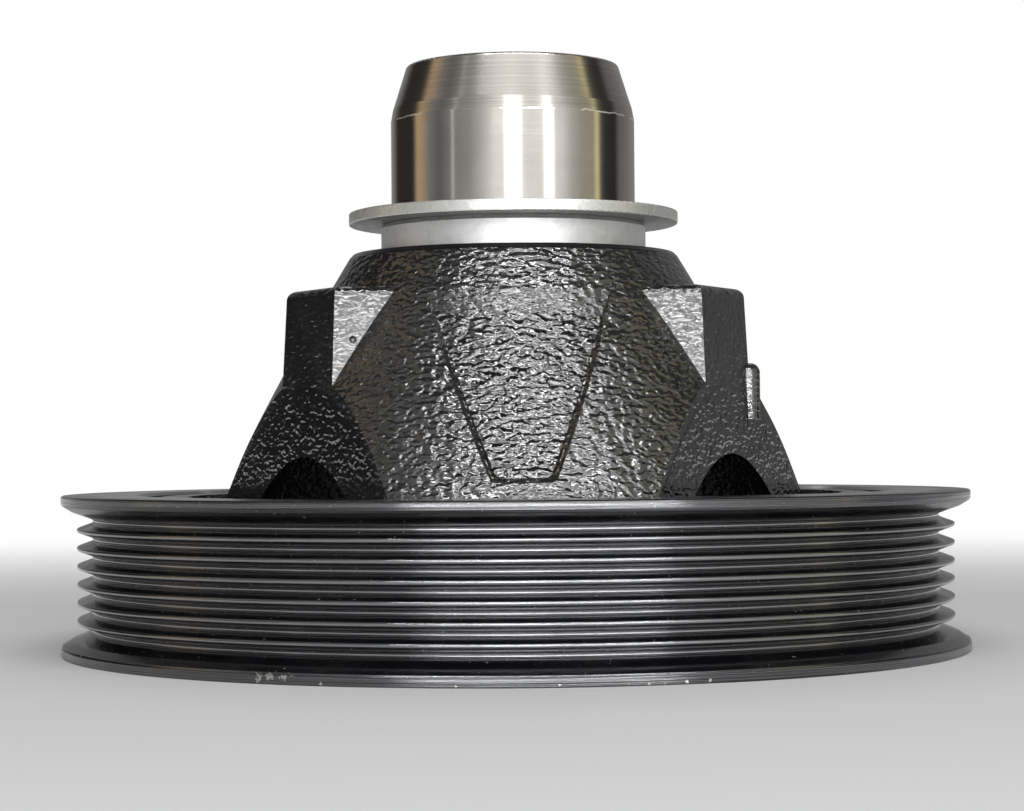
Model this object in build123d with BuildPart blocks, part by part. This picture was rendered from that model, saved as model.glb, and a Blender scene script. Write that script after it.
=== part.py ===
"""Harmonic balancer: cast hub, pressed-in nose sleeve, dust slinger, rubber ring and grooved pulley ring.

Millimetres, +Z along the crankshaft axis. The origin is the centre of the pulley ring's front face, on which
the balancer stands, and the nose points up.
"""
import os
from math import cos, radians, tan

from build123d import *

# Pulley ring: belt grooves between two flanges
RIB_PITCH = 3.56
GROOVE_COUNT = 7
GROOVE_HALF_ANGLE = 20.0
GROOVE_ROOT_WIDTH = 0.66
GROOVE_ROOT_WALL = 8.8
RIB_HEIGHT = 3.1
FLANGE_HEIGHT = 6.2
FLANGE_RIM_WIDTH = 1.9
BELT_GUIDE_WIDTH = 1.25
BELT_GUIDE_HEIGHT = 4.1
RIB_ROUNDING = 0.44
RIM_EDGE_CHAMFER = 0.3
RING_BORE_CHAMFER = 0.6

# Rubber ring between the hub's rim and the pulley ring
RUBBER_THICKNESS = 4.5
RUBBER_END_DEPTH = 1.8
RUBBER_END_HOLLOW = 0.7

# Hub casting: rim, cone and cavity
HUB_RIM_RADIUS = 71.0
HUB_RIM_THICKNESS = 5.5
HUB_RIM_TOP_DEPTH = 0.5
HUB_RIM_BOTTOM_DEPTH = 1.0
HUB_RIM_FOOT_THICKNESS = 7.5
CONE_BASE_RADIUS = 58.6
CONE_TOP_RADIUS = 33.1
CONE_HEIGHT = 47.0
CONE_BULGE = 0.75
CAP_CHAMFER = 0.7
CAVITY_BASE_WALL = 7.6
CAVITY_TOP_RADIUS = 36.7
CAVITY_HEIGHT = 30.7
CAVITY_FLARE_DEPTH = 21.0
VALLEY_DEPTH = 11.3
CAVITY_ROUNDING = 3.0

# Hub casting: legs
LEG_COUNT = 3
BACK_LEG_DIRECTION = 90.0
LEG_TOP_HEIGHT = 39.7
LEG_TOP_DISTANCE = 46.0
LEG_TOP_HALF_WIDTH = 10.1
LEG_FACE_DRAFT = 2.8
LEG_SIDE_DRAFT = 2.3
LEG_SIDE_SPLAY = 20.0
LEG_ROUNDING = 1.8

# Hub casting: pockets between the legs
POCKET_LEDGE_HEIGHT = 2.0
POCKET_HEIGHT = 38.5
POCKET_DEPTH = 1.8
POCKET_UPPER_DEPTH = 1.4
POCKET_FADE_LENGTH = 5.5
POCKET_HALF_WIDTH = 6.5
POCKET_SPREAD = 0.40
POCKET_SIDE_DRAFT = 35.0
POCKET_LEDGE_DRAFT = 50.0
POCKET_CORNER_ROUNDING = 1.6

# Hub casting: vent stub beside one leg and a blow hole in another
STUB_RADIUS = 2.4
STUB_ROUNDING = 1.9
STUB_BOTTOM_HEIGHT = 14.0
STUB_TOP_HEIGHT = 25.1
STUB_DISTANCE = 46.2
STUB_OFFSET = 11.4
BLOW_HOLE_RADIUS = 0.7
BLOW_HOLE_HEIGHT = 29.5
BLOW_HOLE_DISTANCE = 43.0

# Hub casting: boss that takes the sleeve and the crankshaft bolt
BOSS_TOP_RADIUS = 30.0
BOSS_BOTTOM_RADIUS = 28.5
BOSS_BOTTOM_DEPTH = 5.3
BOLT_SEAT_RADIUS = 20.0
BOLT_SEAT_DEPTH = 6.0
BOLT_HOLE_RADIUS = 8.5
BOSS_WEB_THICKNESS = 8.0

# Nose sleeve
CRANK_BORE_RADIUS = 18.0
SPIGOT_RADIUS = 22.0
SHOULDER_RADIUS = 26.7
SHOULDER_HEIGHT = 6.0
SHOULDER_CHAMFER = 0.8
NOSE_RADIUS = 24.6
SEAL_LAND_LENGTH = 18.5
LEAD_RELIEF_LENGTH = 2.3
LEAD_RELIEF_ANGLE = 10.0
LEAD_TAPER_LENGTH = 8.9
LEAD_TAPER_ANGLE = 17.5
NOSE_EDGE_ROUNDING = 0.7
CRANK_BORE_CHAMFER = 1.2
KEYWAY_WIDTH = 5.0
KEYWAY_DEPTH = 2.3

# Dust slinger
SLINGER_RADIUS = 33.2
SLINGER_SEAT_RADIUS = 25.2
SLINGER_THICKNESS = 2.4
SLINGER_EDGE_ROUNDING = 0.3

# Pulley ring, worked out
RING_BORE_RADIUS = HUB_RIM_RADIUS + RUBBER_THICKNESS
GROOVE_ROOT_RADIUS = RING_BORE_RADIUS + GROOVE_ROOT_WALL
RIB_TIP_RADIUS = GROOVE_ROOT_RADIUS + RIB_HEIGHT
BELT_GUIDE_RADIUS = GROOVE_ROOT_RADIUS + BELT_GUIDE_HEIGHT
FLANGE_RADIUS = GROOVE_ROOT_RADIUS + FLANGE_HEIGHT
FLANK_SLOPE = tan(radians(GROOVE_HALF_ANGLE))


def groove_half_width(radius):
    """Half the width of a belt groove at a radius."""
    return GROOVE_ROOT_WIDTH / 2 + (radius - GROOVE_ROOT_RADIUS) * FLANK_SLOPE


FIRST_GROOVE_HEIGHT = FLANGE_RIM_WIDTH + BELT_GUIDE_WIDTH + groove_half_width(BELT_GUIDE_RADIUS)
RING_WIDTH = 2 * FIRST_GROOVE_HEIGHT + (GROOVE_COUNT - 1) * RIB_PITCH

# Hub, worked out: heights above the pulley ring's engine-side face are added to RING_WIDTH
CAP_EDGE_HEIGHT = RING_WIDTH + CONE_HEIGHT
CAP_HEIGHT = CAP_EDGE_HEIGHT + CAP_CHAMFER
CONE_SLOPE = (CONE_BASE_RADIUS - CONE_TOP_RADIUS) / CONE_HEIGHT
CONE_ANGLE = Vector(1, 0).get_angle(Vector(1, CONE_SLOPE))
RIM_INNER_RADIUS = HUB_RIM_RADIUS - HUB_RIM_THICKNESS
RIM_TOP_HEIGHT = RING_WIDTH - HUB_RIM_TOP_DEPTH
VALLEY_HEIGHT = RING_WIDTH - VALLEY_DEPTH
LEG_HEIGHT = RING_WIDTH + LEG_TOP_HEIGHT
LEG_SPACING = 360 / LEG_COUNT
LEFT_LEG_DIRECTION = BACK_LEG_DIRECTION + LEG_SPACING
RIGHT_LEG_DIRECTION = BACK_LEG_DIRECTION - LEG_SPACING
POCKET_DIRECTION = BACK_LEG_DIRECTION + LEG_SPACING / 2
CAVITY_BASE_RADIUS = CONE_BASE_RADIUS - CAVITY_BASE_WALL
CAVITY_SLOPE = (CAVITY_BASE_RADIUS - CAVITY_TOP_RADIUS) / CAVITY_HEIGHT
CAVITY_ROOF_HEIGHT = RING_WIDTH + CAVITY_HEIGHT
CAVITY_FLARE_HEIGHT = RING_WIDTH - CAVITY_FLARE_DEPTH
BOSS_BOTTOM_HEIGHT = RING_WIDTH - BOSS_BOTTOM_DEPTH
BOLT_SEAT_HEIGHT = BOSS_BOTTOM_HEIGHT + BOLT_SEAT_DEPTH
SLEEVE_BOTTOM_HEIGHT = BOLT_SEAT_HEIGHT + BOSS_WEB_THICKNESS

# Sleeve and slinger, worked out
SHOULDER_TOP_HEIGHT = CAP_HEIGHT + SHOULDER_HEIGHT
SEAL_LAND_BOTTOM = SHOULDER_TOP_HEIGHT + SLINGER_THICKNESS
SEAL_LAND_TOP = SEAL_LAND_BOTTOM + SEAL_LAND_LENGTH
RELIEF_TOP = SEAL_LAND_TOP + LEAD_RELIEF_LENGTH
RELIEF_RADIUS = NOSE_RADIUS - LEAD_RELIEF_LENGTH * tan(radians(LEAD_RELIEF_ANGLE))
NOSE_TOP = RELIEF_TOP + LEAD_TAPER_LENGTH
NOSE_TOP_RADIUS = RELIEF_RADIUS - LEAD_TAPER_LENGTH * tan(radians(LEAD_TAPER_ANGLE))


def cone_radius(height):
    """Radius of the hub's outer cone, which bulges a little, at a height above the origin."""
    rise = (height - RING_WIDTH) / CONE_HEIGHT
    return CONE_BASE_RADIUS - rise * CONE_HEIGHT * CONE_SLOPE + 4 * CONE_BULGE * rise * (1 - rise)


def cavity_radius(height):
    """Radius of the hub's cavity wall at a height above the origin."""
    return CAVITY_BASE_RADIUS - (height - RING_WIDTH) * CAVITY_SLOPE


def leg_distance(height):
    """Distance of the legs' flat faces from the axis at a height above the origin."""
    return LEG_TOP_DISTANCE + (LEG_HEIGHT - height) * tan(radians(LEG_FACE_DRAFT))


# Pulley ring
def groove_outline():
    """Points of the belt track in (radius, height), from the lower flange to the upper one."""
    points = [(BELT_GUIDE_RADIUS, FIRST_GROOVE_HEIGHT - groove_half_width(BELT_GUIDE_RADIUS))]
    for index in range(GROOVE_COUNT):
        middle = FIRST_GROOVE_HEIGHT + index * RIB_PITCH
        if index > 0:
            points.append((RIB_TIP_RADIUS, middle - groove_half_width(RIB_TIP_RADIUS)))
        points.append((GROOVE_ROOT_RADIUS, middle - GROOVE_ROOT_WIDTH / 2))
        points.append((GROOVE_ROOT_RADIUS, middle + GROOVE_ROOT_WIDTH / 2))
        if index < GROOVE_COUNT - 1:
            points.append((RIB_TIP_RADIUS, middle + groove_half_width(RIB_TIP_RADIUS)))
    points.append((BELT_GUIDE_RADIUS, RING_WIDTH - FLANGE_RIM_WIDTH - BELT_GUIDE_WIDTH))
    return points


with BuildPart() as pulley_ring:
    with BuildSketch(Plane.XZ) as ring_section:
        with BuildLine():
            Polyline(
                (RING_BORE_RADIUS, 0),
                (FLANGE_RADIUS, 0),
                (FLANGE_RADIUS, FLANGE_RIM_WIDTH),
                *groove_outline(),
                (FLANGE_RADIUS, RING_WIDTH - FLANGE_RIM_WIDTH),
                (FLANGE_RADIUS, RING_WIDTH),
                (RING_BORE_RADIUS, RING_WIDTH),
                close=True,
            )
        make_face()
        corners = ring_section.vertices()
        chamfer(corners.group_by(Axis.X)[-1], RIM_EDGE_CHAMFER)
        chamfer(corners.group_by(Axis.X)[0], RING_BORE_CHAMFER)
        ribs = ring_section.vertices().filter_by(
            lambda corner: GROOVE_ROOT_RADIUS - 1 < corner.X < (RIB_TIP_RADIUS + BELT_GUIDE_RADIUS) / 2
        )
        fillet(ribs, RIB_ROUNDING)
    revolve(axis=Axis.Z)

# Rubber ring
with BuildPart() as damper_rubber:
    with BuildSketch(Plane.XZ):
        with BuildLine():
            bottom = RUBBER_END_DEPTH
            top = RING_WIDTH - RUBBER_END_DEPTH
            middle_radius = HUB_RIM_RADIUS + RUBBER_THICKNESS / 2
            Line((HUB_RIM_RADIUS, top), (HUB_RIM_RADIUS, bottom))
            ThreePointArc(
                (HUB_RIM_RADIUS, bottom),
                (middle_radius, bottom + RUBBER_END_HOLLOW),
                (RING_BORE_RADIUS, bottom),
            )
            Line((RING_BORE_RADIUS, bottom), (RING_BORE_RADIUS, top))
            ThreePointArc(
                (RING_BORE_RADIUS, top),
                (middle_radius, top - RUBBER_END_HOLLOW),
                (HUB_RIM_RADIUS, top),
            )
        make_face()
    revolve(axis=Axis.Z)

# Leg of the hub, along +X: a tapered block that the flat face trims afterwards
LEG_INNER_DISTANCE = SPIGOT_RADIUS
LEG_OUTER_DISTANCE = CONE_BASE_RADIUS
LEG_ROOT_HEIGHT = RING_WIDTH + POCKET_LEDGE_HEIGHT


def leg_half_width(distance, height):
    """Half the width of a leg at a distance from the axis and a height above the origin."""
    at_top = LEG_TOP_HALF_WIDTH + (LEG_TOP_DISTANCE - distance) * tan(radians(LEG_SIDE_SPLAY))
    return at_top + (LEG_HEIGHT - height) * tan(radians(LEG_SIDE_DRAFT))


def leg_plan(height):
    """Corners of a leg's plan at a height, counter-clockwise."""
    inner = leg_half_width(LEG_INNER_DISTANCE, height)
    outer = leg_half_width(LEG_OUTER_DISTANCE, height)
    return [
        (LEG_INNER_DISTANCE, -inner),
        (LEG_OUTER_DISTANCE, -outer),
        (LEG_OUTER_DISTANCE, outer),
        (LEG_INNER_DISTANCE, inner),
    ]


with BuildPart() as leg:
    for height in (LEG_ROOT_HEIGHT, LEG_HEIGHT):
        with BuildSketch(Plane.XY.offset(height)):
            with BuildLine():
                Polyline(*leg_plan(height), close=True)
            make_face()
    loft()

# Space beyond a leg's flat face, along +X
with BuildPart() as leg_face_cut:
    with BuildSketch(Plane.XZ):
        with BuildLine():
            Polyline(
                (leg_distance(VALLEY_HEIGHT), VALLEY_HEIGHT),
                (leg_distance(CAP_HEIGHT), CAP_HEIGHT),
                (FLANGE_RADIUS, CAP_HEIGHT),
                (FLANGE_RADIUS, VALLEY_HEIGHT),
                close=True,
            )
        make_face()
    extrude(amount=FLANGE_RADIUS, both=True)

# Pocket between two legs, on the cone's +X side: sloping walls, and a floor that rises to the cone's face
POCKET_MIDDLE_HEIGHT = RING_WIDTH + CONE_HEIGHT / 2
POCKET_PLANE = Plane(
    origin=(cone_radius(POCKET_MIDDLE_HEIGHT), 0, POCKET_MIDDLE_HEIGHT),
    x_dir=(0, 1, 0),
    z_dir=(1, 0, CONE_SLOPE),
)
POCKET_BOTTOM = RING_WIDTH + POCKET_LEDGE_HEIGHT
POCKET_TOP = RING_WIDTH + POCKET_HEIGHT
POCKET_FADE_START = POCKET_TOP - POCKET_FADE_LENGTH
POCKET_REACH = 3 * POCKET_DEPTH


def pocket_outline(rise):
    """Corners of the pocket's walls on a plane that lies rise above the cone's middle line."""
    along = cos(radians(CONE_ANGLE))
    bottom = (POCKET_BOTTOM - POCKET_MIDDLE_HEIGHT) / along - rise * tan(radians(POCKET_LEDGE_DRAFT))
    top = (CAP_HEIGHT - POCKET_MIDDLE_HEIGHT) / along
    widening = rise * tan(radians(POCKET_SIDE_DRAFT))
    bottom_half = POCKET_HALF_WIDTH + widening
    top_half = bottom_half + (top - bottom) * along * POCKET_SPREAD
    return [(-bottom_half, bottom), (bottom_half, bottom), (top_half, top), (-top_half, top)]


with BuildPart() as pocket:
    for rise in (-POCKET_REACH, POCKET_REACH):
        with BuildSketch(POCKET_PLANE.offset(rise)) as wall_section:
            with BuildLine():
                Polyline(*pocket_outline(rise), close=True)
            make_face()
            fillet(wall_section.vertices().group_by(Axis.Y)[0], POCKET_CORNER_ROUNDING)
    loft()
    with BuildSketch(Plane.YZ):
        with BuildLine():
            Polyline(
                (0, POCKET_BOTTOM - CONE_HEIGHT),
                (cone_radius(POCKET_BOTTOM) - POCKET_DEPTH, POCKET_BOTTOM - CONE_HEIGHT),
                (cone_radius(POCKET_BOTTOM) - POCKET_DEPTH, POCKET_BOTTOM),
                (cone_radius(POCKET_FADE_START) - POCKET_UPPER_DEPTH, POCKET_FADE_START),
                (cone_radius(POCKET_TOP), POCKET_TOP),
                (cone_radius(POCKET_TOP), CAP_HEIGHT),
                (0, CAP_HEIGHT),
                close=True,
            )
        make_face()
    revolve(axis=Axis.Z, mode=Mode.SUBTRACT)

# Vent stub left by the mould, at the rear edge of the right-hand leg's flat face
STUB_PLANE = Plane.XY.rotated((0, 0, RIGHT_LEG_DIRECTION)).offset(RING_WIDTH)
with BuildPart() as vent_stub:
    with BuildSketch(STUB_PLANE.offset(STUB_BOTTOM_HEIGHT)):
        with Locations((STUB_DISTANCE, STUB_OFFSET)):
            Circle(STUB_RADIUS)
    extrude(amount=STUB_TOP_HEIGHT - STUB_BOTTOM_HEIGHT)
    fillet(vent_stub.edges().group_by(Axis.Z)[-1], STUB_ROUNDING)

# Blow hole in the near side of the left-hand leg
BLOW_HOLE_PLANE = Plane.XY.rotated((0, 0, LEFT_LEG_DIRECTION)).offset(RING_WIDTH + BLOW_HOLE_HEIGHT)
BLOW_HOLE_OFFSET = leg_half_width(BLOW_HOLE_DISTANCE, RING_WIDTH + BLOW_HOLE_HEIGHT)
with BuildPart(BLOW_HOLE_PLANE) as blow_hole:
    with Locations((BLOW_HOLE_DISTANCE, BLOW_HOLE_OFFSET)):
        Sphere(BLOW_HOLE_RADIUS)

# Hub casting
with BuildPart() as hub_casting:
    with BuildSketch(Plane.XZ):
        with BuildLine():
            cone_middle = (VALLEY_HEIGHT + CAP_EDGE_HEIGHT) / 2
            ThreePointArc(
                (cone_radius(VALLEY_HEIGHT), VALLEY_HEIGHT),
                (cone_radius(cone_middle), cone_middle),
                (CONE_TOP_RADIUS, CAP_EDGE_HEIGHT),
            )
            Polyline(
                (CONE_TOP_RADIUS, CAP_EDGE_HEIGHT),
                (CONE_TOP_RADIUS - CAP_CHAMFER, CAP_HEIGHT),
                (0, CAP_HEIGHT),
                (0, VALLEY_HEIGHT),
                (cone_radius(VALLEY_HEIGHT), VALLEY_HEIGHT),
            )
        make_face()
    revolve(axis=Axis.Z)
    with PolarLocations(0, LEG_COUNT, start_angle=BACK_LEG_DIRECTION):
        add(leg.part)
    with PolarLocations(0, LEG_COUNT, start_angle=BACK_LEG_DIRECTION):
        add(leg_face_cut.part, mode=Mode.SUBTRACT)
    leg_edges = hub_casting.edges().filter_by(GeomType.LINE)
    fillet(leg_edges.filter_by(lambda edge: edge.center().Z > RING_WIDTH), LEG_ROUNDING)
    with PolarLocations(0, LEG_COUNT, start_angle=POCKET_DIRECTION):
        add(pocket.part, mode=Mode.SUBTRACT)
    add(vent_stub.part)
    add(blow_hole.part, mode=Mode.SUBTRACT)
    with BuildSketch(Plane.XZ):
        with BuildLine():
            Polyline(
                (SPIGOT_RADIUS, HUB_RIM_BOTTOM_DEPTH),
                (HUB_RIM_RADIUS, HUB_RIM_BOTTOM_DEPTH),
                (HUB_RIM_RADIUS, RIM_TOP_HEIGHT),
                (RIM_INNER_RADIUS, RIM_TOP_HEIGHT),
                (RIM_INNER_RADIUS, VALLEY_HEIGHT),
                (SPIGOT_RADIUS, VALLEY_HEIGHT),
                close=True,
            )
        make_face()
    revolve(axis=Axis.Z)
    with BuildSketch(Plane.XZ) as cavity_section:
        with BuildLine():
            Polyline(
                (0, 0),
                (HUB_RIM_RADIUS - HUB_RIM_FOOT_THICKNESS, 0),
                (HUB_RIM_RADIUS - HUB_RIM_FOOT_THICKNESS, HUB_RIM_BOTTOM_DEPTH),
                (cavity_radius(CAVITY_FLARE_HEIGHT), CAVITY_FLARE_HEIGHT),
                (CAVITY_TOP_RADIUS, CAVITY_ROOF_HEIGHT),
                (BOSS_TOP_RADIUS, CAVITY_ROOF_HEIGHT),
                (BOSS_BOTTOM_RADIUS, BOSS_BOTTOM_HEIGHT),
                (BOLT_SEAT_RADIUS, BOSS_BOTTOM_HEIGHT),
                (BOLT_SEAT_RADIUS, BOLT_SEAT_HEIGHT),
                (BOLT_HOLE_RADIUS, BOLT_SEAT_HEIGHT),
                (BOLT_HOLE_RADIUS, SLEEVE_BOTTOM_HEIGHT),
                (SPIGOT_RADIUS, SLEEVE_BOTTOM_HEIGHT),
                (SPIGOT_RADIUS, CAP_HEIGHT),
                (0, CAP_HEIGHT),
                close=True,
            )
        make_face()
        roof_corners = cavity_section.vertices().filter_by(
            lambda corner: corner.Y == CAVITY_ROOF_HEIGHT
        )
        fillet(roof_corners, CAVITY_ROUNDING)
    revolve(axis=Axis.Z, mode=Mode.SUBTRACT)

# Nose sleeve
with BuildPart() as nose_sleeve:
    with BuildSketch(Plane.XZ) as sleeve_section:
        with BuildLine():
            Polyline(
                (CRANK_BORE_RADIUS, SLEEVE_BOTTOM_HEIGHT),
                (SPIGOT_RADIUS, SLEEVE_BOTTOM_HEIGHT),
                (SPIGOT_RADIUS, CAP_HEIGHT),
                (SHOULDER_RADIUS, CAP_HEIGHT),
                (SHOULDER_RADIUS, SHOULDER_TOP_HEIGHT - SHOULDER_CHAMFER),
                (SHOULDER_RADIUS - SHOULDER_CHAMFER, SHOULDER_TOP_HEIGHT),
                (SLINGER_SEAT_RADIUS, SHOULDER_TOP_HEIGHT),
                (SLINGER_SEAT_RADIUS, SEAL_LAND_BOTTOM),
                (NOSE_RADIUS, SEAL_LAND_BOTTOM),
                (NOSE_RADIUS, SEAL_LAND_TOP),
                (RELIEF_RADIUS, RELIEF_TOP),
                (NOSE_TOP_RADIUS, NOSE_TOP),
                (CRANK_BORE_RADIUS + CRANK_BORE_CHAMFER, NOSE_TOP),
                (CRANK_BORE_RADIUS, NOSE_TOP - CRANK_BORE_CHAMFER),
                close=True,
            )
        make_face()
        nose_edge = sleeve_section.vertices().sort_by_distance((NOSE_TOP_RADIUS, NOSE_TOP))[0]
        fillet(nose_edge, NOSE_EDGE_ROUNDING)
    revolve(axis=Axis.Z)
    with BuildSketch(Plane.XY.offset(SLEEVE_BOTTOM_HEIGHT)):
        with Locations((CRANK_BORE_RADIUS / 2, 0)):
            Rectangle(CRANK_BORE_RADIUS + 2 * KEYWAY_DEPTH, KEYWAY_WIDTH)
    extrude(amount=NOSE_TOP - SLEEVE_BOTTOM_HEIGHT, mode=Mode.SUBTRACT)

# Dust slinger
with BuildPart() as dust_slinger:
    with BuildSketch(Plane.XZ) as slinger_section:
        with BuildLine():
            Polyline(
                (SLINGER_SEAT_RADIUS, SHOULDER_TOP_HEIGHT),
                (SLINGER_RADIUS, SHOULDER_TOP_HEIGHT),
                (SLINGER_RADIUS, SEAL_LAND_BOTTOM),
                (SLINGER_SEAT_RADIUS, SEAL_LAND_BOTTOM),
                close=True,
            )
        make_face()
        fillet(slinger_section.vertices().group_by(Axis.X)[-1], SLINGER_EDGE_ROUNDING)
    revolve(axis=Axis.Z)

PIECES = {
    "pulley_ring": pulley_ring,
    "damper_rubber": damper_rubber,
    "hub_casting": hub_casting,
    "nose_sleeve": nose_sleeve,
    "dust_slinger": dust_slinger,
}

os.makedirs("parts", exist_ok=True)
for name, piece in PIECES.items():
    piece.part.label = name
    export_step(piece.part, f"parts/{name}.step")
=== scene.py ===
from math import cos, pi, radians, sin

import bpy
from bpy.props import FloatProperty, FloatVectorProperty, PointerProperty
from bpy.types import Operator, Panel, PropertyGroup
from mathutils import Matrix, Vector

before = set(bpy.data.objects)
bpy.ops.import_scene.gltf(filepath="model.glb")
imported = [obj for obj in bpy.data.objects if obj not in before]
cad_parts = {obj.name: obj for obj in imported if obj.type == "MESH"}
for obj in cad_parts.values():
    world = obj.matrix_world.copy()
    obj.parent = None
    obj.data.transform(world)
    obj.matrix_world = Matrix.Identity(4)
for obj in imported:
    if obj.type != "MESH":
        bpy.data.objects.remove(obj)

bl_info = {
    "name": "Harmonic balancer looks",
    "version": (1, 0, 0),
    "blender": (4, 5, 0),
    "location": "3D View > Sidebar > Balancer",
    "description": "Finishes, lamps and camera for the harmonic balancer",
    "category": "Object",
}

# Places on the part in metres: heights above the floor, and radii about the axis
CONE_FOOT_HEIGHT = 0.0313
CONE_FOOT_RADIUS = 0.0586
CONE_SLOPE = 0.5426
CONE_RADIUS_AT_FLOOR = CONE_FOOT_RADIUS + CONE_SLOPE * CONE_FOOT_HEIGHT
BRIGHT_LINE_HEIGHT = 0.1057
BELT_MIDDLE_HEIGHT = 0.01565
RIM_RADIUS = 0.0905

# Where one finish gives way to the next, in metres: where the change starts, and where it is complete
POCKET_DEPTHS = (0.0003, 0.0009)
CAP_HEIGHTS = (0.0780, 0.0783)
SEAL_LAND_HEIGHTS = (0.0872, 0.0874)
TAPER_HEIGHTS = (0.1059, 0.1063)
BRIGHT_LINE_GAPS = (0.00005, 0.00022)
RIM_RADII = (0.0901, 0.0903)
RIB_TIP_RADII = (0.0871, 0.08722)
GROOVE_ROOT_RADII = (0.08445, 0.0846)
BELT_EDGE_GAPS = (0.0094, 0.0096)

# The same for how far up a face looks, from -1 for down to 1 for up
UPRIGHT_FACINGS = (0.1, 0.3)
# Facings over which the slinger's underside gets painted shade
SHADED_UNDERSIDE_FACINGS = (-0.9, -0.5)

# Scale of the noise that makes the sand's bumps: under 1 across and along, so that they are wider than high
BUMP_SCALE = (0.6, 0.6, 1.0)

# Chips in the pulley's paint: direction from the front in degrees to the right, height and reach
CHIPS = (
    (-30.8, 0.0013, 0.0015), (-29.4, 0.0015, 0.0017), (-27.6, 0.0012, 0.0013), (-23.0, 0.0005, 0.0006),
    (12.6, 0.0004, 0.0006), (14.4, 0.0005, 0.0008), (16.8, 0.0004, 0.0009), (19.6, 0.0005, 0.0006),
    (37.6, 0.0287, 0.0007), (-8.0, 0.0004, 0.0005), (3.0, 0.0004, 0.0005),
)

# Colours that break up a finish, and a painted shade for the slinger's underside
COAT_PATCH = (0.012, 0.0118, 0.0115, 1)
COAT_DUST = (0.09, 0.09, 0.088, 1)
STEEL_SMUDGE = (0.45, 0.42, 0.38, 1)
TURNED_STEEL = (0.40, 0.38, 0.35, 1)
BRIGHT_STEEL = (0.95, 0.95, 0.93, 1)
ZINC_STAIN = (0.56, 0.57, 0.56, 1)
ZINC_SPANGLE = (0.50, 0.50, 0.47, 1)
WHITE_RUST = (0.72, 0.71, 0.66, 1)
# Painted shade: dark zinc colour laid on the slinger where it faces down
PAINTED_UNDERSIDE_SHADE = (0.13, 0.13, 0.125, 1)
RUBBER_BLOOM = (0.035, 0.034, 0.032, 1)
PAINT_SMUDGE = (0.01, 0.01, 0.0105, 1)
PAINT_DUST = (0.4, 0.4, 0.38, 1)

# Studio walls that polished metal mirrors: direction from the front in degrees to the right, and tone
WALLS = (
    # Dim wall at the back left, and a dark opening
    (-170, 0.30), (-152, 0.20), (-140, 0.03), (-108, 0.03),
    # Brown door
    (-102, (0.62, 0.46, 0.28)), (-94, (0.5, 0.38, 0.25)),
    # Grey wall with a bright slit
    (-86, 0.25), (-74, 0.15), (-62, 0.26), (-60.5, 0.3), (-59, 1.0), (-57.5, 0.3), (-42, 0.38), (-28, 0.7),
    # White wall in front
    (-18, 1.0), (44, 1.0), (54, 0.6),
    # Olive card with a yellow edge
    (66, (0.42, 0.41, 0.34)), (80, (0.42, 0.40, 0.30)), (82, (0.9, 0.8, 0.45)), (85, (0.9, 0.8, 0.45)),
    # Dark opening, and a dim wall at the back right
    (88, 0.12), (94, 0.04), (110, 0.03), (117, 0.17), (150, 0.25),
)
WALL_RADIUS = 1.5
WALL_HEIGHT = 2.0
WALL_FACES = 180

# Upright lamps: direction from the front in degrees to the right, distance from the axis, width, and edges
LOW_LAMP = {"direction": 5, "distance": 0.85, "width": 1.0, "heights": (0.0, 0.04)}
MIDDLE_LAMP = {"direction": 4, "distance": 1.2, "width": 1.1, "heights": (0.34, 0.52)}
FRONT_STRIP = {"direction": -1.3, "distance": 1.05, "width": 0.28, "heights": (0.15, 0.95)}
SIDE_STRIP = {"direction": 32, "distance": 1.05, "width": 0.17, "heights": (0.15, 0.95)}

# Hanging lamps: place, the point that they face, and size
TOP_LAMP = {"place": (0.05, -0.63, 1.1), "aim": (0, 0, 0.06), "size": (1.3, 0.042)}
BACK_LAMP = {"place": (0.0, 1.0, 1.1), "aim": (0, 0, 0.05), "size": (1.2, 0.5)}

# Floor and sky: the floor's side and where it fades, in metres, and how far up a ray looks where the sky fades
FLOOR_SIDE = 8
FLOOR_FADE = (0.14, 0.7)
SKY_COLOUR = (0.95, 0.97, 1.0, 1)
SKY_FADE = (0.35, 0.6)
ZENITH_LEVEL = 0.06

WHITE = (1, 1, 1, 1)
FLOAT, COLOUR = "NodeSocketFloat", "NodeSocketColor"


def colour(name, value, description):
    """Colour property, linear."""
    return FloatVectorProperty(
        name=name, description=description, subtype="COLOR", size=3, default=value, min=0, max=1)


def length(name, value, description):
    """Length property, in metres."""
    return FloatProperty(
        name=name, description=description, default=value, min=0, unit="LENGTH", precision=5)


def angle(name, value, description):
    """Angle property, whose default is given in degrees."""
    return FloatProperty(name=name, description=description, default=radians(value), subtype="ANGLE")


def factor(name, value, description):
    """Plain number between 0 and 1."""
    return FloatProperty(
        name=name, description=description, default=value, min=0, max=1, subtype="FACTOR")


def level(name, value, description):
    """Plain number from 0 up."""
    return FloatProperty(name=name, description=description, default=value, min=0)


class BALANCER_PG_casting(PropertyGroup):
    """Black coat over the sand-cast hub."""
    coat: colour("Coat", (0.006, 0.0063, 0.007), "Colour of the black coat")
    roughness: factor("Roughness", 0.09, "Roughness of the coat in the pockets")
    dulling: factor("Dulling", 0.08, "Roughness added outside the pockets")
    gloss: level("Gloss", 2.25, "Refractive index of the coat")
    grain: length("Grain", 0.00088, "Distance between the bumps of the sand")
    relief: length("Relief", 0.00062, "Height of the bumps of the sand in the pockets")
    outer_relief: factor("Outer relief", 0.7, "Share of the relief that is left outside the pockets")
    upright_relief: factor("Upright relief", 0.3, "Share of the relief that is left on upright faces")
    cap_relief: factor("Cap relief", 0.06, "Share of the relief that is left on the flat cap")


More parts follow.
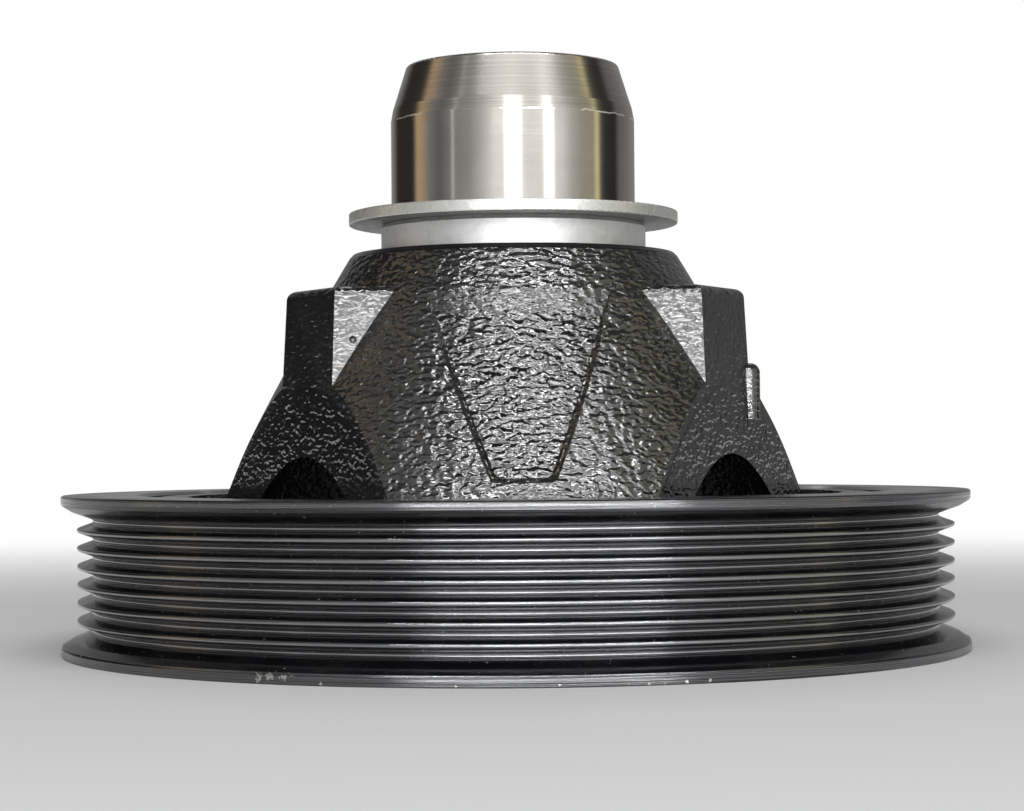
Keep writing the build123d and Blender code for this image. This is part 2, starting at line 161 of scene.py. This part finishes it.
class BALANCER_PG_steel(PropertyGroup):
    """Ground steel nose and zinc-coated shoulder of the sleeve."""
    metal: colour("Steel", (0.62, 0.59, 0.55), "Colour of the bare steel")
    roughness: factor("Roughness", 0.11, "Roughness of the ground nose")
    zinc: colour("Zinc", (0.78, 0.79, 0.78), "Colour of the zinc on the shoulder")
    zinc_metallic: factor("Zinc metallic", 0.85, "How metallic the zinc on the shoulder is")
    shoulder_roughness: factor("Shoulder roughness", 0.5, "Roughness of the zinc on the shoulder")
    grinding_pitch: length("Grinding pitch", 0.00022, "Distance between the marks of the grinding wheel")
    grinding: length("Grinding", 0.000001, "Depth of the marks of the grinding wheel")
    turning_pitch: length("Turning pitch", 0.0006, "Distance between the turned rings on the lead-in taper")
    turning: length("Turning", 0.000006, "Depth of the turned rings on the lead-in taper")
    raggedness: length("Raggedness", 0.0012, "How far the bright line at the top of the seal land wanders")


class BALANCER_PG_slinger(PropertyGroup):
    """Zinc coat of the dust slinger, with painted shade on its underside."""
    zinc: colour("Zinc", (0.72, 0.73, 0.70), "Colour of the zinc")
    metallic: factor("Metallic", 0.85, "How metallic the zinc is")
    roughness: factor("Roughness", 0.42, "Roughness of the zinc")
    relief: length("Relief", 0.00003, "Depth of the rolled texture")
    # The dulling here is painted shade: it darkens the zinc where the slinger faces down
    dulling: factor("Dulling", 0.8, "How far the underside has dulled")


class BALANCER_PG_rubber(PropertyGroup):
    """Moulded rubber ring."""
    rubber: colour("Rubber", (0.016, 0.016, 0.017), "Colour of the rubber")
    roughness: factor("Roughness", 0.72, "Roughness of the rubber")
    relief: length("Relief", 0.00008, "Depth of the moulded texture")


class BALANCER_PG_paint(PropertyGroup):
    """Black paint of the pulley ring."""
    paint: colour("Paint", (0.004, 0.0043, 0.0052), "Colour of the paint")
    roughness: factor("Roughness", 0.15, "Roughness of the paint")
    gloss: level("Gloss", 1.62, "Refractive index of the paint")
    pitch: length("Pitch", 0.00035, "Distance between the turning marks under the paint")
    relief: length("Relief", 0.00004, "Depth of the turning marks under the paint")
    burnish: colour("Burnish", (0.3, 0.303, 0.315), "Colour of the burnished rib tips and groove roots")
    turned: colour("Turned rims", (0.14, 0.142, 0.15), "Colour of the turned streaks on the rims")
    bare: colour("Bare metal", (0.5, 0.49, 0.46), "Colour of the metal where the paint is chipped")


class BALANCER_PG_stage(PropertyGroup):
    """Floor, lamps and camera."""
    floor: colour("Floor", (0.78, 0.78, 0.77), "Colour of the floor")
    camera_distance: length("Camera distance", 0.51474, "Distance of the camera from the axis")
    camera_height: length("Camera height", 0.03996, "Height of the camera above the floor")
    camera_side: angle("Camera side", 1.55, "How far round to the left of the front the camera stands")
    camera_turn: angle("Camera turn", -1.488, "Turn of the view about the vertical")
    camera_tilt: angle("Camera tilt", 90.963, "Tilt of the view from straight down")
    camera_roll: angle("Camera roll", -0.453, "Roll of the view about its own middle line")
    lens: FloatProperty(
        name="Lens", description="Focal length on a 36 mm sensor", default=89.53, unit="CAMERA")
    sky_level: level("Sky", 0.22, "Radiance of the sky as it lights the object")
    strip_level: level("Strips", 1.8, "Radiance of the two tall strip lamps")
    low_level: level("Low lamp", 20.0, "Radiance of the low, wide lamp")
    middle_level: level("Middle lamp", 6.0, "Radiance of the wide lamp at half height")
    top_level: level("Top lamp", 36.0, "Radiance of the high, wide lamp")
    back_power: FloatProperty(
        name="Back lamp", description="Power of the lamp behind the object", default=1.6, min=0, unit="POWER")


class Nodes:
    """Small builder for the nodes of one tree."""

    def __init__(self, tree):
        self.tree = tree
        self.column = 0

    def add(self, kind, settings=None, **sockets):
        """Node with its settings made and its sockets fed, each by its name, or as _0 by its number."""
        node = self.tree.nodes.new(kind)
        self.column += 1
        node.location = (self.column * 180, (self.column % 4) * -160)
        for name, value in (settings or {}).items():
            setattr(node, name, value)
        for name, value in sockets.items():
            key = int(name[1:]) if name[0] == "_" else name.replace("_", " ")
            self.feed(node.inputs[key], value)
        return node

    def feed(self, socket, value):
        """Links a socket, or sets its value."""
        if isinstance(value, bpy.types.NodeSocket):
            self.tree.links.new(value, socket)
        else:
            socket.default_value = value

    def maths(self, operation, first, second=0.0, third=0.0):
        """Result of a sum on numbers."""
        return self.add("ShaderNodeMath", {"operation": operation}, _0=first, _1=second, _2=third).outputs[0]

    def plus(self, first, second):
        """Sum of two numbers."""
        return self.maths("ADD", first, second)

    def times(self, first, second):
        """Product of two numbers."""
        return self.maths("MULTIPLY", first, second)

    def either(self, first, second):
        """The stronger of two masks."""
        return self.maths("MAXIMUM", first, second)

    def gap(self, first, second):
        """How far apart two numbers are."""
        return self.maths("ABSOLUTE", self.maths("SUBTRACT", first, second))

    def spread(self, value, low, high, to_low=0.0, to_high=1.0):
        """A number carried smoothly from one range to another, and held at its ends."""
        node = self.add("ShaderNodeMapRange", {"interpolation_type": "SMOOTHSTEP"}, _0=value)
        for index, number in enumerate((low, high, to_low, to_high)):
            self.feed(node.inputs[index + 1], number)
        return node.outputs[0]

    def mix(self, share, first, second):
        """Mix of two colours."""
        node = self.add("ShaderNodeMix", {"data_type": "RGBA"})
        self.feed(node.inputs["Factor"], share)
        self.feed(node.inputs[6], first)
        self.feed(node.inputs[7], second)
        return node.outputs[2]

    def noise(self, place, scale, detail=2.0, roughness=0.5, distortion=0.0):
        """Noise at a place, with as many blotches to a unit of length as its scale says."""
        return self.add("ShaderNodeTexNoise", Vector=place, Scale=scale, Detail=detail, Roughness=roughness,
                        Distortion=distortion).outputs["Fac"]

    def group(self, tree, **sockets):
        """Outputs of a node group that is placed here."""
        return self.add("ShaderNodeGroup", {"node_tree": tree}, **sockets).outputs

    def place(self):
        """Where a point of the object is."""
        return self.add("ShaderNodeTexCoord").outputs["Object"]

    def split(self, vector):
        """The three parts of a vector."""
        return self.add("ShaderNodeSeparateXYZ", Vector=vector).outputs

    def facing(self):
        """How far up a face looks, from -1 for down to 1 for up."""
        return self.split(self.add("ShaderNodeNewGeometry").outputs["True Normal"])[2]

    def shown(self):
        """1 for the rays that show the background, which are camera, glossy and transmission rays."""
        path = self.add("ShaderNodeLightPath").outputs
        rays = self.plus(path["Is Camera Ray"], path["Is Glossy Ray"])
        return self.plus(rays, path["Is Transmission Ray"])


def cleared(owner):
    """Builder for the nodes of a new material or world, without the nodes that it comes with."""
    owner.use_nodes = True
    owner.node_tree.nodes.clear()
    return Nodes(owner.node_tree)


def new_group(name, inputs, outputs):
    """Shader node group with named sockets. Gives its nodes, and the sockets that it reads and fills."""
    group = bpy.data.node_groups.new(name, "ShaderNodeTree")
    for socket, kind, value in inputs:
        made = group.interface.new_socket(socket, in_out="INPUT", socket_type=kind)
        made.default_value = value
    for socket, kind in outputs:
        group.interface.new_socket(socket, in_out="OUTPUT", socket_type=kind)
    nodes = Nodes(group)
    start = nodes.add("NodeGroupInput")
    end = nodes.add("NodeGroupOutput")
    end.location = (4000, 0)
    return nodes, start.outputs, end.inputs


def around_group():
    """Where a surface is: its distance from the axis, and its height."""
    if "Around the axis" in bpy.data.node_groups:
        return bpy.data.node_groups["Around the axis"]
    nodes, _, result = new_group("Around the axis", [], [("Radius", FLOAT), ("Height", FLOAT)])
    across, along, height = nodes.split(nodes.place())
    flat = nodes.add("ShaderNodeCombineXYZ", X=across, Y=along).outputs[0]
    radius = nodes.add("ShaderNodeVectorMath", {"operation": "LENGTH"}, _0=flat).outputs["Value"]
    nodes.feed(result["Radius"], radius)
    nodes.feed(result["Height"], height)
    return nodes.tree


def sand_cast_group():
    """Coat over the bumps of a sand mould: full in the pockets, low on upright faces and on the cap."""
    nodes, given, result = new_group(
        "Sand cast",
        [("Coat", COLOUR, (0.006, 0.0063, 0.007, 1)), ("Roughness", FLOAT, 0.09), ("Dulling", FLOAT, 0.08),
         ("Grain", FLOAT, 0.00088), ("Outer relief", FLOAT, 0.7), ("Upright relief", FLOAT, 0.3),
         ("Cap relief", FLOAT, 0.06)],
        [("Colour", COLOUR), ("Roughness", FLOAT), ("Height", FLOAT)])
    place = nodes.place()
    scale = nodes.maths("DIVIDE", 1.0, given["Grain"])
    widened = nodes.add("ShaderNodeVectorMath", {"operation": "MULTIPLY"}, _0=place, _1=BUMP_SCALE)
    bumps = nodes.noise(widened.outputs[0], scale, detail=0.6, roughness=0.4, distortion=0.4)
    swells = nodes.noise(place, nodes.times(scale, 0.2), detail=1.0)
    height = nodes.plus(bumps, nodes.times(swells, 0.8))

    at = nodes.group(around_group())
    cone_face = nodes.maths("MULTIPLY_ADD", at["Height"], -CONE_SLOPE, CONE_RADIUS_AT_FLOOR)
    depth = nodes.maths("SUBTRACT", cone_face, at["Radius"])
    pocket = nodes.spread(depth, *POCKET_DEPTHS)
    below_cap = nodes.spread(at["Height"], *CAP_HEIGHTS, 1.0, given["Cap relief"])
    upward = nodes.maths("ABSOLUTE", nodes.facing())
    leaning = nodes.spread(upward, *UPRIGHT_FACINGS, given["Upright relief"], 1.0)
    inside = nodes.spread(pocket, 0.0, 1.0, given["Outer relief"], 1.0)
    share = nodes.times(nodes.times(below_cap, leaning), inside)
    nodes.feed(result["Height"], nodes.times(height, share))

    patches = nodes.noise(place, 60.0, detail=3.0, roughness=0.6)
    dust = nodes.spread(nodes.noise(place, 2400.0, detail=1.0), 0.70, 0.78)
    tone = nodes.mix(nodes.spread(patches, 0.35, 0.7, 0.0, 0.6), given["Coat"], COAT_PATCH)
    nodes.feed(result["Colour"], nodes.mix(nodes.times(dust, 0.5), tone, COAT_DUST))
    rough = nodes.plus(given["Roughness"], nodes.spread(patches, 0.3, 0.7, -0.02, 0.05))
    dulled = nodes.spread(pocket, 0.0, 1.0, given["Dulling"], 0.0)
    nodes.feed(result["Roughness"], nodes.plus(rough, dulled))
    return nodes.tree


def turned_group():
    """Fine marks of a lathe or a grinding wheel, which run around the axis, and smudges over them."""
    if "Turned marks" in bpy.data.node_groups:
        return bpy.data.node_groups["Turned marks"]
    nodes, given, result = new_group(
        "Turned marks", [("Pitch", FLOAT, 0.0002), ("Wander", FLOAT, 0.3)],
        [("Marks", FLOAT), ("Smudges", FLOAT)])
    at = nodes.group(around_group())
    place = nodes.place()
    across, along, _ = nodes.split(place)
    lane = nodes.maths("DIVIDE", nodes.maths("SUBTRACT", at["Height"], at["Radius"]), given["Pitch"])
    reach = nodes.maths("DIVIDE", given["Wander"], at["Radius"])
    row = nodes.add("ShaderNodeCombineXYZ", X=nodes.times(across, reach), Y=nodes.times(along, reach), Z=lane)
    nodes.feed(result["Marks"], nodes.noise(row.outputs[0], 1.0, detail=3.0, roughness=0.65))
    nodes.feed(result["Smudges"], nodes.noise(place, 90.0, detail=4.0, roughness=0.6, distortion=0.4))
    return nodes.tree


def new_material(name):
    """Material with a Principled shader. Gives the material, its nodes and the shader's sockets."""
    material = bpy.data.materials.new(name)
    nodes = cleared(material)
    shader = nodes.add("ShaderNodeBsdfPrincipled")
    output = nodes.add("ShaderNodeOutputMaterial", Surface=shader.outputs[0])
    shader.location = (3800, 0)
    output.location = (4100, 0)
    return material, nodes, shader.inputs


def bump(nodes, shader, height, distance):
    """Relief on a shader."""
    made = nodes.add("ShaderNodeBump", Height=height, Distance=distance, Strength=1.0)
    nodes.feed(shader["Normal"], made.outputs[0])


def dress(node, material):
    """Gives a CAD node its material."""
    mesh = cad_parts[node].data
    mesh.materials.clear()
    mesh.materials.append(material)


class BALANCER_OT_casting(Operator):
    """Coats the cast hub"""
    bl_idname = "balancer.casting"
    bl_label = "Coat the casting"

    def execute(self, context):
        given = context.scene.balancer_casting
        material, nodes, shader = new_material("coated_casting")
        cast = nodes.group(
            sand_cast_group(), Coat=(*given.coat, 1), Roughness=given.roughness, Dulling=given.dulling,
            Grain=given.grain, Outer_relief=given.outer_relief, Upright_relief=given.upright_relief,
            Cap_relief=given.cap_relief)
        nodes.feed(shader["Base Color"], cast["Colour"])
        nodes.feed(shader["Roughness"], cast["Roughness"])
        nodes.feed(shader["IOR"], given.gloss)
        bump(nodes, shader, cast["Height"], given.relief)
        dress("hub_casting", material)
        return {"FINISHED"}


def bright_line(nodes, height, place, raggedness):
    """Mask of the ragged, broken bright line where the seal land ends."""
    ragged = nodes.noise(place, 420.0, detail=3.0, roughness=0.7)
    shift = nodes.times(nodes.maths("SUBTRACT", ragged, 0.5), raggedness)
    edge = nodes.plus(BRIGHT_LINE_HEIGHT, shift)
    line = nodes.spread(nodes.gap(height, edge), *BRIGHT_LINE_GAPS, 1.0, 0.0)
    return nodes.times(line, nodes.spread(nodes.noise(place, 130.0, detail=1.0), 0.42, 0.52))


class BALANCER_OT_steel(Operator):
    """Finishes the nose sleeve"""
    bl_idname = "balancer.steel"
    bl_label = "Grind the nose"

    def execute(self, context):
        given = context.scene.balancer_steel
        material, nodes, shader = new_material("ground_steel")
        ground = nodes.group(turned_group(), Pitch=given.grinding_pitch, Wander=0.25)
        rings = nodes.group(turned_group(), Pitch=given.turning_pitch, Wander=0.12)
        at = nodes.group(around_group())
        place = nodes.place()
        shoulder = nodes.spread(at["Height"], *SEAL_LAND_HEIGHTS, 1.0, 0.0)
        taper = nodes.spread(at["Height"], *TAPER_HEIGHTS)
        line = bright_line(nodes, at["Height"], place, given.raggedness)

        smudged = nodes.spread(ground["Smudges"], 0.35, 0.7, 0.0, 0.35)
        ringed = nodes.times(nodes.spread(rings["Marks"], 0.35, 0.65), nodes.times(taper, 0.5))
        tone = nodes.mix(smudged, (*given.metal, 1), STEEL_SMUDGE)
        tone = nodes.mix(ringed, tone, TURNED_STEEL)
        tone = nodes.mix(line, tone, BRIGHT_STEEL)
        stains = nodes.noise(place, 260.0, detail=4.0, roughness=0.65, distortion=0.6)
        zinc = nodes.mix(nodes.spread(stains, 0.4, 0.7, 0.0, 0.5), (*given.zinc, 1), ZINC_STAIN)
        nodes.feed(shader["Base Color"], nodes.mix(shoulder, tone, zinc))
        nodes.feed(shader["Metallic"], nodes.spread(shoulder, 0.0, 1.0, 1.0, given.zinc_metallic))

        rough = nodes.plus(given.roughness, nodes.spread(ground["Marks"], 0.3, 0.7, -0.02, 0.03))
        rough = nodes.plus(rough, nodes.times(taper, 0.06))
        rough = nodes.plus(rough, nodes.times(line, 0.3))
        rough = nodes.plus(rough, nodes.times(shoulder, given.shoulder_roughness - given.roughness))
        nodes.feed(shader["Roughness"], rough)

        grinding = nodes.times(ground["Marks"], given.grinding)
        turning = nodes.times(nodes.times(rings["Marks"], taper), given.turning)
        millimetres = nodes.times(nodes.plus(grinding, turning), 1000.0)
        bump(nodes, shader, millimetres, 0.001)
        dress("nose_sleeve", material)
        return {"FINISHED"}


class BALANCER_OT_slinger(Operator):
    """Galvanises the slinger"""
    bl_idname = "balancer.slinger"
    bl_label = "Galvanise the slinger"

    def execute(self, context):
        given = context.scene.balancer_slinger
        material, nodes, shader = new_material("galvanised_steel")
        place = nodes.place()
        spangle = nodes.noise(place, 900.0, detail=3.0, roughness=0.6, distortion=0.5)
        stains = nodes.noise(place, 160.0, detail=4.0, roughness=0.6)
        # Painted shade: the zinc's colour turns darker where the slinger faces down
        under = nodes.spread(nodes.facing(), *SHADED_UNDERSIDE_FACINGS, 1.0, 0.0)
        tone = nodes.mix(nodes.spread(spangle, 0.35, 0.65, 0.0, 0.6), (*given.zinc, 1), ZINC_SPANGLE)
        tone = nodes.mix(nodes.spread(stains, 0.45, 0.7, 0.0, 0.4), tone, WHITE_RUST)
        nodes.feed(shader["Base Color"], nodes.mix(nodes.times(under, given.dulling), tone, PAINTED_UNDERSIDE_SHADE))
        nodes.feed(shader["Metallic"], given.metallic)
        rough = nodes.spread(spangle, 0.3, 0.7, given.roughness - 0.08, given.roughness + 0.1)
        nodes.feed(shader["Roughness"], rough)
        bump(nodes, shader, spangle, given.relief)
        dress("dust_slinger", material)
        return {"FINISHED"}


class BALANCER_OT_rubber(Operator):
    """Finishes the rubber ring"""
    bl_idname = "balancer.rubber"
    bl_label = "Mould the rubber"

    def execute(self, context):
        given = context.scene.balancer_rubber
        material, nodes, shader = new_material("rubber")
        place = nodes.place()
        skin = nodes.noise(place, 1500.0, detail=3.0, roughness=0.6)
        bloom = nodes.noise(place, 120.0, detail=4.0, roughness=0.6)
        tone = nodes.mix(nodes.spread(bloom, 0.4, 0.7, 0.0, 0.5), (*given.rubber, 1), RUBBER_BLOOM)
        nodes.feed(shader["Base Color"], tone)
        rough = nodes.spread(skin, 0.3, 0.7, given.roughness - 0.08, given.roughness + 0.1)
        nodes.feed(shader["Roughness"], rough)
        bump(nodes, shader, skin, given.relief)
        dress("damper_rubber", material)
        return {"FINISHED"}


def chipped(nodes, place):
    """Mask of the chips in the paint, which all have ragged edges."""
    ragged = nodes.noise(place, 1400.0, detail=3.0, roughness=0.7)
    mask = 0.0
    for direction, height, reach in CHIPS:
        turn = radians(direction)
        spot = (RIM_RADIUS * sin(turn), -RIM_RADIUS * cos(turn), height)
        away = nodes.add("ShaderNodeVectorMath", {"operation": "DISTANCE"}, _0=place, _1=spot)
        near = nodes.spread(away.outputs["Value"], 0.0, reach, 0.62, 0.3)
        mask = nodes.either(mask, nodes.spread(nodes.plus(near, ragged), 1.0, 1.04))
    return mask


def burnished(nodes, at):
    """Mask of the rib tips and groove roots that the belt rubs."""
    from_middle = nodes.gap(at["Height"], BELT_MIDDLE_HEIGHT)
    under_belt = nodes.spread(from_middle, *BELT_EDGE_GAPS, 1.0, 0.0)
    tips = nodes.times(nodes.spread(at["Radius"], *RIB_TIP_RADII), under_belt)
    roots = nodes.spread(at["Radius"], *GROOVE_ROOT_RADII, 1.0, 0.0)
    return nodes.either(tips, roots)


class BALANCER_OT_paint(Operator):
    """Paints the pulley ring"""
    bl_idname = "balancer.paint"
    bl_label = "Paint the pulley ring"

    def execute(self, context):
        given = context.scene.balancer_paint
        material, nodes, shader = new_material("black_paint")
        turned = nodes.group(turned_group(), Pitch=given.pitch, Wander=0.4)
        at = nodes.group(around_group())
        place = nodes.place()
        on_rim = nodes.spread(at["Radius"], *RIM_RADII)
        streaks = nodes.times(nodes.spread(turned["Marks"], 0.42, 0.52), on_rim)
        rubbed = nodes.either(burnished(nodes, at), streaks)
        bare = chipped(nodes, place)
        specks = nodes.spread(nodes.noise(place, 1300.0, detail=1.0), 0.77, 0.80)

        smudged = nodes.spread(turned["Smudges"], 0.4, 0.7, 0.0, 0.5)
        tone = nodes.mix(smudged, (*given.paint, 1), PAINT_SMUDGE)
        tone = nodes.mix(nodes.times(specks, 0.7), tone, PAINT_DUST)
        tone = nodes.mix(rubbed, tone, (*given.burnish, 1))
        tone = nodes.mix(streaks, tone, (*given.turned, 1))
        nodes.feed(shader["Base Color"], nodes.mix(bare, tone, (*given.bare, 1)))
        nodes.feed(shader["Metallic"], nodes.either(rubbed, bare))
        nodes.feed(shader["IOR"], given.gloss)

        rough = nodes.plus(given.roughness, nodes.spread(turned["Smudges"], 0.3, 0.7, -0.04, 0.08))
        rough = nodes.plus(rough, nodes.times(bare, 0.15))
        nodes.feed(shader["Roughness"], nodes.plus(rough, nodes.times(specks, 0.3)))

        ripple = nodes.times(nodes.noise(place, 500.0), 0.05)
        marks = nodes.times(turned["Marks"], nodes.spread(at["Radius"], *RIM_RADII, 0.02, 1.0))
        bump(nodes, shader, nodes.plus(ripple, marks), given.relief)
        dress("pulley_ring", material)
        return {"FINISHED"}


def floor_material(tone):
    """Pale floor that fades to white away from the object, for the camera and in reflections."""
    material = bpy.data.materials.new("stage_floor")
    nodes = cleared(material)
    floor = nodes.add(
        "ShaderNodeBsdfPrincipled", Base_Color=(*tone, 1), Roughness=0.9, Specular_IOR_Level=0.1)
    away = nodes.add("ShaderNodeVectorMath", {"operation": "LENGTH"}, _0=nodes.place()).outputs["Value"]
    faded = nodes.times(nodes.shown(), nodes.spread(away, *FLOOR_FADE))
    glow = nodes.add("ShaderNodeEmission", Color=WHITE, Strength=1.0)
    mixed = nodes.add("ShaderNodeMixShader", _0=faded, _1=floor.outputs[0], _2=glow.outputs[0])
    nodes.add("ShaderNodeOutputMaterial", Surface=mixed.outputs[0])
    return material


def walls_material():
    """Tones of the studio's walls by direction from the front."""
    material = bpy.data.materials.new("stage_surround")
    nodes = cleared(material)
    across, along, _ = nodes.split(nodes.place())
    turn = nodes.maths("ARCTAN2", across, nodes.times(along, -1.0))
    ramp = nodes.add("ShaderNodeValToRGB", _0=nodes.maths("MULTIPLY_ADD", turn, 0.5 / pi, 0.5))
    points = ramp.color_ramp.elements
    while len(points) < len(WALLS):
        points.new(0.5)
    for point, (direction, tone) in zip(points, WALLS):
        point.position = direction / 360 + 0.5
        point.color = (*tone, 1) if isinstance(tone, tuple) else (tone, tone, tone, 1)
    glow = nodes.add("ShaderNodeEmission", Color=ramp.outputs[0], Strength=1.0)
    nodes.add("ShaderNodeOutputMaterial", Surface=glow.outputs[0])
    material.cycles.emission_sampling = "NONE"
    return material


def lay_floor(tone):
    """Flat floor that the balancer stands on."""
    bpy.ops.object.select_all(action="DESELECT")
    bpy.ops.mesh.primitive_plane_add(size=FLOOR_SIDE, location=(0, 0, 0))
    floor = bpy.context.object
    floor.name = "stage_floor"
    floor.data.materials.append(floor_material(tone))


def stand_walls():
    """Round wall about the studio, which the camera doesn't see and reflections do."""
    bpy.ops.object.select_all(action="DESELECT")
    bpy.ops.mesh.primitive_cylinder_add(
        vertices=WALL_FACES, radius=WALL_RADIUS, depth=WALL_HEIGHT, end_fill_type="NOTHING",
        location=(0, 0, WALL_HEIGHT / 2))
    walls = bpy.context.object
    walls.name = "stage_surround"
    bpy.ops.object.transform_apply(location=True, rotation=True, scale=True)
    walls.data.materials.append(walls_material())
    walls.visible_camera = False
    walls.visible_diffuse = False
    walls.visible_shadow = False


def hang_sky(scene, radiance):
    """World that lights the object evenly, and looks white near the horizon and dark overhead."""
    world = bpy.data.worlds.new("world")
    nodes = cleared(world)
    light = nodes.add("ShaderNodeBackground", Color=SKY_COLOUR, Strength=radiance)
    rise = nodes.split(nodes.add("ShaderNodeTexCoord").outputs["Generated"])[2]
    whiteness = nodes.spread(rise, *SKY_FADE, 1.0, ZENITH_LEVEL)
    backdrop = nodes.add("ShaderNodeBackground", Color=WHITE, Strength=whiteness)
    mixed = nodes.add("ShaderNodeMixShader", _0=nodes.shown(), _1=light.outputs[0], _2=backdrop.outputs[0])
    nodes.add("ShaderNodeOutputWorld", Surface=mixed.outputs[0])
    scene.world = world


def radiant_power(radiance, size):
    """Power that gives a lamp of this size this radiance."""
    width, height = size
    return radiance * pi * width * height


def lamp(name, place, aim, size, power):
    """Rectangular lamp facing a point."""
    data = bpy.data.lights.new(name, "AREA")
    data.shape = "RECTANGLE"
    data.size, data.size_y = size
    data.energy = power
    made = bpy.data.objects.new(name, data)
    bpy.context.scene.collection.objects.link(made)
    made.location = place
    made.rotation_mode = "QUATERNION"
    made.rotation_quaternion = (Vector(aim) - Vector(place)).to_track_quat("-Z", "Y")
    made.visible_camera = False


def upright_lamp(name, radiance, direction, distance, width, heights):
    """Upright lamp facing the axis."""
    turn = radians(direction)
    low, high = heights
    middle = (low + high) / 2
    size = (width, high - low)
    place = (distance * sin(turn), -distance * cos(turn), middle)
    lamp(name, place, (0, 0, middle), size, radiant_power(radiance, size))


def stand_camera(scene, given):
    """Camera a little to the left of the front, just above the pulley."""
    data = bpy.data.cameras.new("camera")
    data.sensor_width = 36
    data.lens = given.lens
    data.clip_start, data.clip_end = 0.01, 50
    camera = bpy.data.objects.new("camera", data)
    scene.collection.objects.link(camera)
    across = -given.camera_distance * sin(given.camera_side)
    along = -given.camera_distance * cos(given.camera_side)
    place = Matrix.Translation((across, along, given.camera_height))
    turn = Matrix.Rotation(given.camera_turn, 4, "Z")
    tilt = Matrix.Rotation(given.camera_tilt, 4, "X")
    roll = Matrix.Rotation(given.camera_roll, 4, "Z")
    camera.matrix_world = place @ turn @ tilt @ roll
    scene.camera = camera


class BALANCER_OT_stage(Operator):
    """Sets the floor, the lamps and the camera"""
    bl_idname = "balancer.stage"
    bl_label = "Set the stage"

    def execute(self, context):
        scene = context.scene
        given = scene.balancer_stage
        scene.view_settings.view_transform = "Standard"
        lay_floor(given.floor)
        hang_sky(scene, given.sky_level)
        stand_walls()
        upright_lamp("low_lamp", given.low_level, **LOW_LAMP)
        upright_lamp("mid_lamp", given.middle_level, **MIDDLE_LAMP)
        upright_lamp("front_strip", given.strip_level, **FRONT_STRIP)
        upright_lamp("side_strip", given.strip_level, **SIDE_STRIP)
        lamp("top_lamp", **TOP_LAMP, power=radiant_power(given.top_level, TOP_LAMP["size"]))
        lamp("back_lamp", **BACK_LAMP, power=given.back_power)
        stand_camera(scene, given)
        return {"FINISHED"}


class BALANCER_PT_panel(Panel):
    """Sidebar panel with the steps in order"""
    bl_idname = "BALANCER_PT_panel"
    bl_label = "Harmonic balancer"
    bl_space_type = "VIEW_3D"
    bl_region_type = "UI"
    bl_category = "Balancer"

    def draw(self, context):
        for name in STEPS:
            self.layout.operator(f"balancer.{name}")
            given = getattr(context.scene, f"balancer_{name}")
            for field in given.bl_rna.properties:
                if field.identifier not in ("name", "rna_type"):
                    self.layout.prop(given, field.identifier)


STEPS = ("casting", "steel", "slinger", "rubber", "paint", "stage")
GROUPS = {
    "casting": BALANCER_PG_casting,
    "steel": BALANCER_PG_steel,
    "slinger": BALANCER_PG_slinger,
    "rubber": BALANCER_PG_rubber,
    "paint": BALANCER_PG_paint,
    "stage": BALANCER_PG_stage,
}
CLASSES = (*GROUPS.values(), BALANCER_OT_casting, BALANCER_OT_steel, BALANCER_OT_slinger, BALANCER_OT_rubber,
           BALANCER_OT_paint, BALANCER_OT_stage, BALANCER_PT_panel)


def register():
    for made in CLASSES:
        bpy.utils.register_class(made)
    for name, made in GROUPS.items():
        setattr(bpy.types.Scene, f"balancer_{name}", PointerProperty(type=made))


def unregister():
    for name in GROUPS:
        delattr(bpy.types.Scene, f"balancer_{name}")
    for made in reversed(CLASSES):
        bpy.utils.unregister_class(made)


def main():
    register()
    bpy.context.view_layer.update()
    for name in STEPS:
        getattr(bpy.ops.balancer, name)()


if __name__ == "__main__":
    main()
